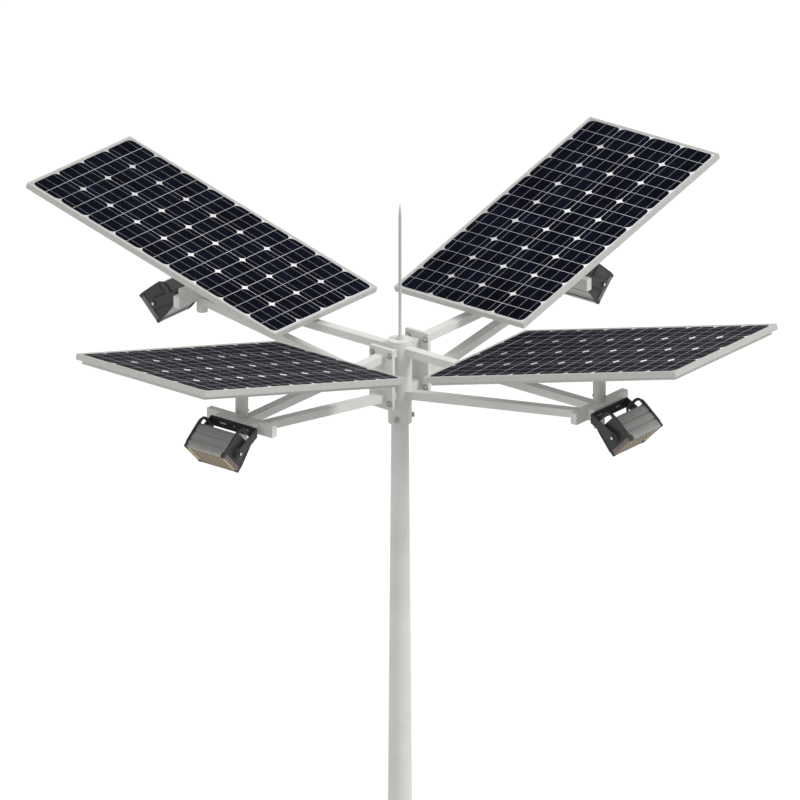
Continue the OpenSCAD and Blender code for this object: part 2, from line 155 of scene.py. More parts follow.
class Shape:
    """Collects grids and faces as arrays and turns them into one mesh object."""

    def __init__(self):
        self.points = []
        self.quads = []
        self.slots = []
        self.count = 0

    def grid(self, points, slot=0, close_u=False, close_v=False, flip=False):
        """Adds a surface given as points[u, v]: each cell of the grid is one four-sided face."""
        nu, nv = points.shape[:2]
        index = np.arange(nu * nv).reshape(nu, nv) + self.count
        if close_u:
            index = np.concatenate([index, index[:1]], 0)
        if close_v:
            index = np.concatenate([index, index[:, :1]], 1)
        a, b = index[:-1, :-1], index[1:, :-1]
        c, d = index[1:, 1:], index[:-1, 1:]
        faces = np.stack([a, b, c, d], -1).reshape(-1, 4)
        if flip:
            faces = faces[:, ::-1]
        self.points.append(points.reshape(-1, 3))
        self.quads.append(faces)
        self.slots.append(np.full(len(faces), slot))
        self.count += nu * nv

    def boxes(self, centres, half, slot=0):
        """Adds a box round every centre: corner = centre + half * (+-1, +-1, +-1)."""
        signs = np.array([[x, y, z] for x in (-1, 1) for y in (-1, 1) for z in (-1, 1)], float)
        centres = np.asarray(centres, float).reshape(-1, 3)
        half = np.broadcast_to(np.asarray(half, float), centres.shape)
        corners = centres[:, None, :] + half[:, None, :] * signs[None, :, :]
        face = np.array([[0, 1, 3, 2], [4, 6, 7, 5], [0, 4, 5, 1], [2, 3, 7, 6], [0, 2, 6, 4], [1, 5, 7, 3]])
        start = self.count + 8 * np.arange(len(centres))
        self.points.append(corners.reshape(-1, 3))
        self.quads.append((start[:, None, None] + face[None]).reshape(-1, 4))
        self.slots.append(np.full(6 * len(centres), slot))
        self.count += 8 * len(centres)

    def place(self, move):
        """Applies a placing function to every point at once."""
        self.points = [move(np.concatenate(self.points))]
        return self

    def make(self, name, materials, smooth=True, sharp=35):
        points = np.concatenate(self.points).astype(np.float32)
        quads = np.concatenate(self.quads).astype(np.int32)
        slots = np.concatenate(self.slots).astype(np.int32)
        mesh = bpy.data.meshes.new(name)
        mesh.vertices.add(len(points))
        mesh.vertices.foreach_set("co", points.ravel())
        mesh.loops.add(quads.size)
        mesh.loops.foreach_set("vertex_index", quads.ravel())
        mesh.polygons.add(len(quads))
        mesh.polygons.foreach_set("loop_start", np.arange(0, quads.size, 4, dtype=np.int32))
        mesh.polygons.foreach_set("material_index", slots)
        for material in materials:
            mesh.materials.append(material)
        mesh.update(calc_edges=True)
        merged = bmesh.new()
        merged.from_mesh(mesh)
        bmesh.ops.remove_doubles(merged, verts=merged.verts, dist=2e-6)
        bmesh.ops.dissolve_degenerate(merged, edges=merged.edges, dist=1e-7)
        merged.to_mesh(mesh)
        merged.free()
        if smooth:
            mesh.polygons.foreach_set("use_smooth", np.ones(len(mesh.polygons), bool))
            mesh.set_sharp_from_angle(angle=math.radians(sharp))
        thing = bpy.data.objects.new(name, mesh)
        bpy.context.scene.collection.objects.link(thing)
        return thing


def lathe(profile, sides, start=0.0):
    """Turns a profile of (radius, height) about Z: point = (r cos t, r sin t, h)."""
    t = start + 2 * np.pi * np.arange(sides) / sides
    profile = np.asarray(profile, float)
    r, h = profile[:, 0][None], profile[:, 1][None]
    return np.stack([r * np.cos(t)[:, None], r * np.sin(t)[:, None], h + 0 * t[:, None]], -1)


def aim_z(points, direction):
    """Turns +Z to direction with an orthonormal frame built from it."""
    d = np.asarray(direction, float) / np.linalg.norm(direction)
    helper = np.array([0, 0, 1.0]) if abs(d[2]) < 0.9 else np.array([1.0, 0, 0])
    u = np.cross(helper, d)
    u /= np.linalg.norm(u)
    v = np.cross(d, u)
    return points[..., :1] * u + points[..., 1:2] * v + points[..., 2:] * d


def bolt_head(across, height, washer_r, washer_t):
    """Profile of a hexagon head with a chamfered top that stands on a round washer."""
    r = across / 2
    head = lathe([(r, washer_t), (r, washer_t + height * 0.8), (r * 0.86, washer_t + height),
                  (0, washer_t + height)], 6)
    washer = lathe([(washer_r, 0), (washer_r, washer_t * 0.8), (washer_r * 0.95, washer_t),
                    (0, washer_t)], 24)
    return head, washer


def add_bolts(shape, places, direction, across=0.019, height=0.008, washer_r=0.012,
              washer_t=0.002, slot=0):
    """Adds a washer and a hexagon head at every place, pointing along direction."""
    for place in places:
        for part in bolt_head(across, height, washer_r, washer_t):
            shape.grid(aim_z(part, direction) + np.asarray(place, float), slot, close_u=True)


# ---------------------------------------------------------------- materials

def new_material(name):
    material = bpy.data.materials.new(name)
    material.use_nodes = True
    tree = material.node_tree
    return material, tree, tree.nodes["Principled BSDF"]


def node(tree, kind, **values):
    made = tree.nodes.new(kind)
    for key, value in values.items():
        if key in made.inputs:
            made.inputs[key].default_value = value
        else:
            setattr(made, key, value)
    return made


def ramp(tree, source, stops):
    """A colour ramp over a 0 to 1 value: stops are (place, colour)."""
    made = tree.nodes.new("ShaderNodeValToRGB")
    while len(made.color_ramp.elements) < len(stops):
        made.color_ramp.elements.new(0.5)
    for element, (place, colour) in zip(made.color_ramp.elements, stops):
        element.position = place
        element.color = (*colour, 1) if len(colour) == 3 else colour
    tree.links.new(source, made.inputs[0])
    return made.outputs["Color"]


def noise(tree, scale, detail=4, stretch=(1, 1, 1), rough=0.55):
    """Noise over Object coordinates, stretched along any axis."""
    place = tree.nodes.new("ShaderNodeTexCoord")
    turn = tree.nodes.new("ShaderNodeMapping")
    turn.inputs["Scale"].default_value = stretch
    tree.links.new(place.outputs["Object"], turn.inputs["Vector"])
    made = node(tree, "ShaderNodeTexNoise", Scale=scale, Detail=detail, Roughness=rough)
    tree.links.new(turn.outputs["Vector"], made.inputs["Vector"])
    return made.outputs["Fac"]


def bump(tree, shader, height, strength, distance):
    made = node(tree, "ShaderNodeBump", Strength=strength, Distance=distance)
    tree.links.new(height, made.inputs["Height"])
    tree.links.new(made.outputs["Normal"], shader.inputs["Normal"])


def roughness(tree, shader, source, low, high):
    made = node(tree, "ShaderNodeMapRange")
    made.inputs["To Min"].default_value = low
    made.inputs["To Max"].default_value = high
    tree.links.new(source, made.inputs["Value"])
    tree.links.new(made.outputs["Result"], shader.inputs["Roughness"])


def powder_coat(name, dark, light, low=0.38, high=0.52, peel=0.05):
    """Sprayed coating: soft cloudy tone, fine orange-peel bump, uneven gloss."""
    material, tree, shader = new_material(name)
    cloud = noise(tree, 5, 5)
    tree.links.new(ramp(tree, cloud, [(0.3, dark), (0.7, light)]), shader.inputs["Base Color"])
    roughness(tree, shader, noise(tree, 22, 3), low, high)
    bump(tree, shader, noise(tree, 700, 2), peel, 0.0006)
    shader.inputs["Specular IOR Level"].default_value = 0.45
    return material


def drawn_metal(name, dark, light, stretch, low=0.3, high=0.45, metallic=0.85):
    """Extruded or drawn metal: faint lines along its length and a slightly cloudy tone."""
    material, tree, shader = new_material(name)
    lines = noise(tree, 60, 4, stretch)
    tree.links.new(ramp(tree, lines, [(0.25, dark), (0.75, light)]), shader.inputs["Base Color"])
    roughness(tree, shader, lines, low, high)
    bump(tree, shader, lines, 0.06, 0.0004)
    shader.inputs["Metallic"].default_value = metallic
    return material


def plain_variation(name, dark, light, scale, low, high, metallic=0.0, peel=0.1, coat=0.0):
    """A small moulded or machined piece: mottled tone, uneven gloss and a fine grain."""
    material, tree, shader = new_material(name)
    spots = noise(tree, scale, 4)
    tree.links.new(ramp(tree, spots, [(0.3, dark), (0.7, light)]), shader.inputs["Base Color"])
    roughness(tree, shader, spots, low, high)
    bump(tree, shader, noise(tree, scale * 12, 2), peel, 0.0003)
    shader.inputs["Metallic"].default_value = metallic
    shader.inputs["Coat Weight"].default_value = coat
    return material


MAST_WHITE = powder_coat("mast_white_coat", (0.62, 0.61, 0.585), (0.70, 0.69, 0.665))
ARM_WHITE = powder_coat("arm_white_coat", (0.60, 0.595, 0.57), (0.68, 0.675, 0.65))
FRAME_SILVER = drawn_metal("panel_frame_silver", (0.43, 0.425, 0.405), (0.51, 0.505, 0.48), (1, 1, 1),
                           0.35, 0.5, 0.25)
LAMP_SILVER = drawn_metal("lamp_extrusion", (0.25, 0.25, 0.24), (0.32, 0.32, 0.31), (4, 4, 4),
                          0.35, 0.5, 0.6)
BLACK_COAT = powder_coat("black_coat", (0.014, 0.014, 0.015), (0.026, 0.026, 0.028), 0.42, 0.6, 0.12)
ZINC = plain_variation("zinc_screws", (0.50, 0.50, 0.50), (0.68, 0.68, 0.67), 90, 0.25, 0.4, 0.9)
BOLT_GREY = plain_variation("bolt_grey", (0.26, 0.26, 0.25), (0.40, 0.40, 0.385), 90, 0.4, 0.6, 0.25)
ROD_GREY = drawn_metal("rod_grey", (0.50, 0.50, 0.495), (0.60, 0.60, 0.595), (6, 6, 0.5), 0.4, 0.55, 0.15)
LED_FRAME = plain_variation("light_frame_brown", (0.14, 0.115, 0.105), (0.20, 0.165, 0.15), 40, 0.35, 0.5, 0.5)
LED_STRIP = plain_variation("light_frame_silver", (0.25, 0.25, 0.24), (0.33, 0.33, 0.32), 40, 0.35, 0.5, 0.4)
LENS_GOLD = plain_variation("lens_gold", (0.30, 0.21, 0.085), (0.42, 0.31, 0.14), 120, 0.15, 0.3, 0.35)
LENS_CLEAR = plain_variation("lens_dome", (0.34, 0.28, 0.18), (0.48, 0.41, 0.29), 200, 0.06, 0.15, 0.0, 0.02, 0.6)
LENS_DARK = plain_variation("lens_board", (0.03, 0.021, 0.010), (0.07, 0.05, 0.025), 150, 0.3, 0.5)
STRIP_YELLOW = plain_variation("light_strip", (0.60, 0.52, 0.22), (0.72, 0.64, 0.32), 80, 0.3, 0.45)
BACKSHEET = plain_variation("white_backsheet", (0.72, 0.73, 0.73), (0.79, 0.80, 0.80), 25, 0.35, 0.5)
CELL = plain_variation("mono_cell", (0.0018, 0.0020, 0.0045), (0.0045, 0.0055, 0.013), 7, 0.30, 0.42, 0.0, 0.02)
CELL.node_tree.nodes["Principled BSDF"].inputs["IOR"].default_value = 1.04
BUSBAR = plain_variation("busbar_silver", (0.24, 0.25, 0.28), (0.32, 0.33, 0.36), 60, 0.4, 0.5)
RIBBON = plain_variation("cell_split_line", (0.50, 0.51, 0.53), (0.60, 0.61, 0.63), 60, 0.4, 0.5)
BOX_BLACK = plain_variation("junction_box_black", (0.015, 0.015, 0.016), (0.03, 0.03, 0.031), 30, 0.4, 0.6)


# ---------------------------------------------------------------- panels

def rounded_cell(size_x, size_y, corner, points=5):
    """Outline of a cell: a rectangle whose corners are cut by arcs that bulge outward."""
    t = np.linspace(0, np.pi / 2, points)
    hx, hy = size_x / 2 - corner, size_y / 2 - corner
    out = []
    for sx, sy, start in ((1, 1, 0), (-1, 1, 1), (-1, -1, 2), (1, -1, 3)):
        a = t + start * np.pi / 2
        out.append(np.stack([sx * hx + corner * np.cos(a), sy * hy + corner * np.sin(a)], -1))
    return np.concatenate(out)


def cell_field(inner_l, inner_w):
    """Cell centres on a regular grid, rows along the panel and columns across it."""
    pitch_x = inner_l / CELL_ROWS
    pitch_y = inner_w / CELLS_ACROSS
    x = (np.arange(CELL_ROWS) - (CELL_ROWS - 1) / 2) * pitch_x
    y = (np.arange(CELLS_ACROSS) - (CELLS_ACROSS - 1) / 2) * pitch_y
    grid = np.stack(np.meshgrid(x, y, indexing="ij"), -1).reshape(-1, 2)
    return grid, pitch_x, pitch_y


def panel_face(side):
    """Backsheet, cells, split lines and busbars as thin layers that follow the laminate."""
    edge = 0.004
    inner_l = PANEL_L - 2 * FRAME_LIP - 2 * edge
    inner_w = PANEL_W - 2 * FRAME_LIP - 2 * edge
    layer = 0.00025
    shape = Shape()
    base_z = -GLASS_DROP + layer
    slab_mid = -GLASS_DROP - GLASS_T / 2 + layer
    shape.boxes([[0, 0, slab_mid]], (PANEL_L / 2 - FRAME_WALL, PANEL_W / 2 - FRAME_WALL, GLASS_T / 2), 0)
    centres, pitch_x, pitch_y = cell_field(inner_l, inner_w)
    gap = 0.0020
    outline = rounded_cell(pitch_x - gap, pitch_y - gap, 0.0225)
    middle = np.zeros_like(outline)
    rings = np.stack([outline, outline * 0.5, middle], 0)
    for cx, cy in centres:
        flat = rings + np.array([cx, cy])
        points = np.concatenate([flat, np.full((*flat.shape[:2], 1), base_z + layer)], -1)
        shape.grid(points, 1, close_v=True, flip=True)
    top = base_z + 2 * layer
    split = np.array([[cx, cy, top] for cx, cy in centres])
    shape.boxes(split, (0.0011, pitch_y / 2, layer / 2), 2)
    offsets = np.array([-1 / 3, 0, 1 / 3]) * pitch_y
    bars = np.array([[cx, cy + o, top] for cx, cy in centres for o in offsets])
    shape.boxes(bars, (pitch_x / 2, 0.0007, layer / 2), 3)
    shape.place(lambda p: on_panel(p, side))
    return shape.make(f"{side}_panel_cells", [BACKSHEET, CELL, RIBBON, BUSBAR], smooth=False)


def junction_box(side):
    """A shallow box with a raised lid and rounded edges on the backsheet's underside."""
    shape = Shape()
    depth = GLASS_DROP + 0.0045
    shape.boxes([[0.45, 0, -depth - 0.009]], (0.045, 0.055, 0.009), 0)
    shape.boxes([[0.45, 0, -depth - 0.0185]], (0.040, 0.050, 0.0015), 0)
    ribs = np.array([[0.45 + o, 0, -depth - 0.0205] for o in (-0.024, -0.012, 0, 0.012, 0.024)])
    shape.boxes(ribs, (0.002, 0.044, 0.001), 0)
    shape.place(lambda p: on_panel(p, side))
    box = shape.make(f"{side}_junction_box", [BOX_BLACK], smooth=False)
    bevel = box.modifiers.new("edge", "BEVEL")
    bevel.width = 0.0015
    bevel.segments = 2
    return box


# ---------------------------------------------------------------- lamps

def carried_loop(outline, steps):
    """A closed outline carried through steps of (inset, height): each ring is the outline moved
    inward by the inset along its corners' mitres, at that height along the third axis."""
    before = np.roll(outline, 1, 0)
    after = np.roll(outline, -1, 0)
    e0 = outline - before
    e1 = after - outline
    e0 /= np.linalg.norm(e0, axis=1, keepdims=True)
    e1 /= np.linalg.norm(e1, axis=1, keepdims=True)
    n0 = np.stack([-e0[:, 1], e0[:, 0]], -1)
    n1 = np.stack([-e1[:, 1], e1[:, 0]], -1)
    mitre = n0 + n1
    mitre /= np.maximum((mitre * n0).sum(1, keepdims=True), 0.2)
    steps = np.asarray(steps, float)
    ring = outline[None] + mitre[None] * steps[:, 0][:, None, None]
    height = np.broadcast_to(steps[:, 1][:, None, None], (*ring.shape[:2], 1))
    return np.concatenate([ring, height], -1)


def rounded_outline(hx, hy, corner, points=6):
    """A rectangle's outline, counterclockwise, with quarter circles at its corners."""
    t = np.linspace(0, np.pi / 2, points)
    centre = np.array([[1, 1], [-1, 1], [-1, -1], [1, -1]]) * np.array([hx - corner, hy - corner])
    turn = t[None] + np.arange(4)[:, None] * np.pi / 2
    arc = np.stack([np.cos(turn), np.sin(turn)], -1) * corner
    return (centre[:, None] + arc).reshape(-1, 2)


def rounded_corners(corners, radius, points=5):
    """Cuts every corner of a polygon with a parabola between points at radius on its two edges:
    p(t) = (1-t)^2 a + 2t(1-t) corner + t^2 b."""
    corners = np.asarray(corners, float)
    radius = np.broadcast_to(np.asarray(radius, float), (len(corners),))[:, None]
    to_before = np.roll(corners, 1, 0) - corners
    to_after = np.roll(corners, -1, 0) - corners
    a = corners + to_before / np.linalg.norm(to_before, axis=1, keepdims=True) * radius
    b = corners + to_after / np.linalg.norm(to_after, axis=1, keepdims=True) * radius
    t = np.linspace(0, 1, points)[None, :, None]
    curve = (1 - t) ** 2 * a[:, None] + 2 * t * (1 - t) * corners[:, None] + t ** 2 * b[:, None]
    return curve.reshape(-1, 2)


def side_profile():
    """Half of the lamp body's section, from its light face up one side and over its fins:
    points of (half width, height)."""
    span = LAMP_BACK + BODY_LOW
    groove = np.array([[0, 0], [0.0016, -0.0030], [0.0016, -0.0060], [0, -0.0090]])
    half = lambda z: BODY_HALF + (BODY_BACK_HALF - BODY_HALF) * (z + BODY_LOW) / span
    out = [[BODY_HALF - 0.001, -BODY_LOW], [BODY_HALF, -BODY_LOW + 0.001]]
    for top in (-0.0125, 0.0252):
        for depth, down in groove[::-1]:
            out.append([half(top + down) - depth * 2.2, top + down])
    out.append([half(LAMP_BACK - 0.010), LAMP_BACK - 0.010])
    out.append([half(LAMP_BACK) - 0.002, LAMP_BACK - 0.003])
    edge = BODY_BACK_HALF - 0.005
    out.append([edge, LAMP_BACK])
    for k in range(FIN_GAPS):
        x = edge - 0.0045 - k * FIN_PITCH
        out += [[x, LAMP_BACK], [x - 0.0004, LAMP_BACK - FIN_DEEP], [x - 0.0052, LAMP_BACK - FIN_DEEP],
                [x - 0.0056, LAMP_BACK]]
    return np.array(out)


def lamp_body(side):
    """The extruded body: its grooved and finned section carried along the tilt axis."""
    half = side_profile()
    section = np.concatenate([half, half[::-1] * np.array([-1, 1])])
    y = np.linspace(-LAMP_L / 2, LAMP_L / 2, 20)
    grid = np.stack([section[None, :, 0] + 0 * y[:, None], y[:, None] + 0 * section[None, :, 0],
                     section[None, :, 1] + 0 * y[:, None]], -1)
    shape = Shape()
    shape.grid(grid, 0, close_v=True, flip=False)
    shape.place(lambda p: on_lamp(p, side))
    return shape.make(f"{side}_lamp_body", [LAMP_SILVER], sharp=28)


def end_rims(side):
    """Raised rims of both black end plates: the plate's outline carried through a small rounded
    step, round its outer edge and round its window."""
    plate = rounded_corners(END_CORNERS, [0.004, 0.020, 0.012, 0.012, 0.020, 0.004])
    shape = Shape()
    outer = LAMP_L / 2 + END_PLATE_T
    for sign in (-1, 1):
        steps = [(0.0003, -0.0065), (-0.0002, 0.0012), (0.0010, 0.0026), (0.0052, 0.0026),
                 (0.0064, 0.0016), (0.0066, -0.0005)]
        rim = carried_loop(plate, steps)
        rim = np.stack([rim[..., 0], sign * (outer + rim[..., 2]), rim[..., 1]], -1)
        shape.grid(rim, 0, close_v=True, flip=sign < 0)
        boss = lathe([(0.0215, -0.001), (0.0215, 0.004), (0.0195, 0.006), (0.0181, 0.006)], 48)
        shape.grid(aim_z(boss, (0, sign, 0)) + np.array([0, sign * outer, 0]), 0, close_u=True)
    shape.place(lambda p: on_lamp(p, side))
    return shape.make(f"{side}_lamp_end_rims", [BLACK_COAT], sharp=50)


def pivot_screws(side):
    """Bright tilt screws on a spring washer, with a hexagon socket sunk in each head."""
    shape = Shape()
    for sign in (-1, 1):
        washer = lathe([(0.0145, 0.0001), (0.0145, 0.0014), (0.0135, 0.0019), (0.0100, 0.0019)], 40)
        head = lathe([(0.0062, 0.0045), (0.0062, 0.0058), (0.0056, 0.0065), (0.0034, 0.0066)], 32)
        socket = lathe([(0.0034, 0.0066), (0.0030, 0.0056), (0, 0.0056)], 6)
        for part, finish in ((washer, 0), (head, 1), (socket, 1)):
            place = np.array([0, sign * PIVOT_HEAD_LOW, 0])
            shape.grid(aim_z(part, (0, sign, 0)) + place, finish, close_u=True)
    shape.place(lambda p: on_lamp(p, side))
    return shape.make(f"{side}_lamp_pivot_screws", [BLACK_COAT, ZINC])


def light_frame(side):
    """The frame round the lenses: a rounded rectangle carried down the outside, over the rim and
    into the recess, bright along its long sides and brown along its short ones."""
    outline = rounded_outline(LAMP_W / 2, LIGHT_HALF_L, 0.004)
    low, top = LAMP_FRONT, BODY_LOW
    steps = [(0.0010, top), (0, top + 0.001), (0, top + 0.0075), (0.0012, top + 0.0085),
             (0.0012, top + 0.0095), (0, top + 0.0105), (0, low - 0.0015), (0.0012, low),
             (0.0042, low), (0.0052, low - 0.0008), (0.0056, low - 0.004)]
    rings = carried_loop(outline, steps)
    rings[..., 2] *= -1
    shape = Shape()
    per = len(outline) // 4
    nxt = np.roll(rings, -1, 1)
    for k in range(len(outline)):
        flat = (k + 1) % per == 0
        along_y = k // per in (1, 3)
        slot = 0 if not flat else (1 if along_y else 2)
        slot = {0: 2, 1: 1, 2: 2}[slot] if not flat else (2 if k // per in (0, 2) else 1)
        strip = np.stack([rings[:, k], nxt[:, k]], 1)
        shape.grid(strip, slot, flip=True)
    back = carried_loop(outline, [(0.0010, top), (0.060, top)])
    back[..., 2] *= -1
    shape.grid(back, 0, close_v=True)
    shape.place(lambda p: on_lamp(p, side))
    return shape.make(f"{side}_light_frame", [BLACK_COAT, LED_STRIP, LED_FRAME], sharp=40)


def corner_tabs(side):
    """Black corner pieces of the light frame: rounded blocks that wrap each of its corners."""
    shape = Shape()
    for sx in (-1, 1):
        for sy in (-1, 1):
            block = rounded_outline(0.0085, 0.0085, 0.003, 4)
            rings = carried_loop(block, [(0.0085, 0.0), (0.0012, 0.0), (0, 0.0012), (0, 0.0215),
                                         (0.0012, 0.0228), (0.0084, 0.0228)])
            rings[..., 2] = -BODY_LOW - rings[..., 2] + 0.0003
            centre = [sx * (LAMP_W / 2 - 0.0079), sy * (LIGHT_HALF_L - 0.0079), 0]
            shape.grid(rings + np.array(centre), 0, close_v=True, flip=True)
    shape.place(lambda p: on_lamp(p, side))
    return shape.make(f"{side}_light_corners", [BLACK_COAT])


def lens_field(side):
    """Rows of lens cups: each cup falls from a square rim to a round floor, with a low dome on it.
    The cup blends a square and a circle of growing depth; the dome is r = R cos q, h = H sin q."""
    rows, columns = 5, 8
    hx, hy = LAMP_W / 2 - 0.0058, LIGHT_HALF_L - 0.0175
    px, py = 2 * hx / rows, 2 * hy / columns
    x = (np.arange(rows) - (rows - 1) / 2) * px
    y = (np.arange(columns) - (columns - 1) / 2) * py
    t = 2 * np.pi * (np.arange(16) + 0.5) / 16
    square = np.stack([np.cos(t), np.sin(t)], -1)
    square /= np.abs(square).max(1, keepdims=True)
    square *= np.array([px / 2, py / 2])
    circle = np.stack([np.cos(t), np.sin(t)], -1)
    rim = LENS_Z
    cup_r = min(px, py) * 0.40
    dome_r = min(px, py) * 0.24
    rings = [(square, rim), (circle * cup_r, rim), (circle * cup_r * 0.96, rim + 0.0008),
             (circle * dome_r, rim + 0.0058)]
    cup = np.stack([np.concatenate([p, np.full((16, 1), z)], -1) for p, z in rings])
    q = np.linspace(0, np.pi / 2, 4)
    dome = np.stack([np.concatenate([circle * dome_r * c, np.full((16, 1), rim + 0.0058 - 0.0042 * s)], -1)
                     for c, s in zip(np.cos(q), np.sin(q))])
    shape = Shape()
    for cx in x:
        for cy in y:
            at = np.array([cx, cy, 0])
            shape.grid(cup[:2] + at, 0, close_v=True, flip=True)
            shape.grid(cup[1:] + at, 1, close_v=True, flip=True)
            shape.grid(dome + at, 2, close_v=True, flip=True)
    for sign in (-1, 1):
        shape.boxes([[0, sign * (hy + 0.0060), rim + 0.001]], (hx, 0.0059, 0.0014), 3)
    shape.place(lambda p: on_lamp(p, side))
    return shape.make(f"{side}_lens_field", [LENS_DARK, LENS_GOLD, LENS_CLEAR, STRIP_YELLOW], sharp=40)


# ---------------------------------------------------------------- joints, screws and welds

def bead_along(path, across, bead, closed=True, waves=0.006):
    """A weld bead: a small octagon carried along a path, its radius rippling with the distance.
    across is a direction that the path never takes."""
    path = np.asarray(path, float)
    ahead = np.roll(path, -1, 0) - np.roll(path, 1, 0)
    if not closed:
        ahead[0] = path[1] - path[0]
        ahead[-1] = path[-1] - path[-2]
    ahead /= np.linalg.norm(ahead, axis=1, keepdims=True)
    one = np.cross(np.asarray(across, float)[None], ahead)
    one /= np.linalg.norm(one, axis=1, keepdims=True)
    two = np.cross(ahead, one)
    step = np.linalg.norm(np.diff(path, axis=0), axis=1)
    run = np.concatenate([[0], np.cumsum(step)])
    r = bead * (1 + 0.15 * np.sin(run * 2 * np.pi / waves))
    p = 2 * np.pi * np.arange(8) / 8
    return (path[:, None] + one[:, None] * (r[:, None] * np.cos(p))[..., None]
            + two[:, None] * (r[:, None] * np.sin(p))[..., None])


def spread(corners, step=0.0015):
    """Points every step along a closed polygon."""
    corners = np.asarray(corners, float)
    after = np.roll(corners, -1, 0)
    runs = []
    for a, b in zip(corners, after):
        n = max(2, int(np.linalg.norm(b - a) / step))
        runs.append(a + (b - a) * (np.arange(n) / n)[:, None])
    return np.concatenate(runs)


def arm_welds():
    """Beads round each beam's and strut's root on the hub, and round the beam at its crossbar."""
    shape = Shape()
    for side in SIDES:
        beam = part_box("right_beam")
        bolted = side in BOLTED
        mid = (beam[0].z + beam[1].z) / 2
        half_h = (beam[1].z - beam[0].z) / 2
        for centre, half, far in ((mid, half_h, True), (STRUT_ROOT_Z, 0.0168, False)):
            rect = spread([[0.02, centre - half], [0.02, centre + half], [-0.02, centre + half],
                           [-0.02, centre - half]])
            root = np.full(len(rect), PLATE_OUT) if bolted else np.sqrt(SLEEVE_R ** 2 - rect[:, 0] ** 2)
            rise = 0 if far else (root - SLEEVE_R) * STRUT_SLOPE
            ring = np.stack([root, rect[:, 0], rect[:, 1] + rise], -1)
            shape.grid(on_arm(bead_along(ring, (1, 0, 0), 0.0026), side), 0, close_u=True, close_v=True,
                       flip=True)
            if far:
                end = np.stack([np.full(len(rect), CROSSBAR[0].x), rect[:, 0], rect[:, 1]], -1)
                shape.grid(on_arm(bead_along(end, (1, 0, 0), 0.0024), side), 0, close_u=True, close_v=True,
                           flip=True)
    return shape.make("arm_weld_beads", [ARM_WHITE], sharp=180)


def foot_welds():
    """Beads round the mast's foot and down both sides of every gusset."""
    shape = Shape()
    t = np.linspace(0, 2 * np.pi, 900, endpoint=False)
    top = FLANGE[1].z
    foot = MAST_FOOT_R + 0.001
    ring = np.stack([foot * np.cos(t), foot * np.sin(t), 0 * t + top], -1)
    shape.grid(bead_along(ring, (0, 0, 1), 0.004), 0, close_u=True, close_v=True, flip=True)
    reach = np.linspace(foot + 0.004, GUSSET_FOOT - 0.003, 220)
    rise = np.linspace(top + 0.004, top + GUSSET_H - 0.012, 320)
    for k in range(4):
        for sign in (-1, 1):
            y = sign * (GUSSET_T / 2 + 0.0008)
            floor_run = np.stack([reach, 0 * reach + y, 0 * reach + top], -1)
            wall = MAST_FOOT_R - (rise - top) * MAST_TAPER
            wall_run = np.stack([wall, 0 * rise + y, rise], -1)
            for run, across in ((floor_run, (0, 0, 1)), (wall_run, (1, 0, 0))):
                shape.grid(turn_z(bead_along(run, across, 0.0032, False), 90 * k), 0, close_v=True,
                           flip=True)
    return shape.make("foot_weld_beads", [MAST_WHITE], sharp=180)


def joint_bolts(side):
    """Four bolts through each pair of joint plates: a head and washer outside, a nut inside."""
    shape = Shape()
    for y in (-BOLT_Y, BOLT_Y):
        for z in (BOLT_MID - BOLT_Z, BOLT_MID + BOLT_Z):
            add_bolts(shape, [[PLATE_OUT, y, z]], (1, 0, 0), 0.0205, 0.0078, 0.0125, 0.0022)
            add_bolts(shape, [[PLATE_IN, y, z]], (-1, 0, 0), 0.0205, 0.0090, 0.0125, 0.0022)
            end = lathe([(0.0058, 0.009), (0.0058, 0.0150), (0.0048, 0.0160), (0, 0.0160)], 16)
            shape.grid(aim_z(end, (-1, 0, 0)) + np.array([PLATE_IN, y, z]), 0, close_u=True)
    shape.place(lambda p: on_arm(p, side))
    return shape.make(f"{side}_joint_bolts", [BOLT_GREY])


def panel_screws(side):
    """Three socket screws in the panel's socket tube and four bolts under its seat plate."""
    shape = Shape()
    for k in range(3):
        a = 2 * np.pi * k / 3
        out = np.array([np.cos(a), np.sin(a), 0])
        head = lathe([(0.0042, -0.003), (0.0042, 0.0028), (0.0036, 0.0034), (0.0022, 0.0034)], 20)
        sock = lathe([(0.0022, 0.0034), (0.0021, 0.0012), (0, 0.0012)], 6)
        for part in (head, sock):
            place = np.array([PANEL_CENTRE[0], 0, HUB_TOP + 0.012]) + out * SOCKET_R
            shape.grid(on_arm(aim_z(part, out) + place, side), 0, close_u=True)
    under = Shape()
    spots = [[x, y, -0.046] for x in (-0.082, 0.082) for y in (-0.082, 0.082)]
    add_bolts(under, spots, (0, 0, -1), 0.0130, 0.0053, 0.0080, 0.0016)
    under.place(lambda p: on_panel(p, side))
    shape.points.append(np.concatenate(under.points))
    shape.quads.append(np.concatenate(under.quads) + shape.count)
    shape.slots.append(np.concatenate(under.slots))
    shape.count += under.count
    return shape.make(f"{side}_panel_screws", [BOLT_GREY])


def door_screws():
    """Four button screws in the service cover's corners, pointing out of the mast."""
    shape = Shape()
    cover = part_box("service_cover")
    for z in (cover[0].z + 0.010, cover[1].z - 0.010):
        r = MAST_FOOT_R - (z - FLANGE[1].z) * MAST_TAPER + 0.0028
        for turn in (-36, 36):
            a = math.radians(225 + turn)
            out = np.array([math.cos(a), math.sin(a), 0])
            head = lathe([(0.0050, -0.001), (0.0050, 0.0010), (0.0040, 0.0024), (0.0022, 0.0028)], 24)
            sock = lathe([(0.0022, 0.0028), (0.0020, 0.0010), (0, 0.0010)], 6)
            for part in (head, sock):
                shape.grid(aim_z(part, out) + out * r + np.array([0, 0, z]), 0, close_u=True)
    return shape.make("door_screws", [ZINC])


# ---------------------------------------------------------------- view and light, then the pieces

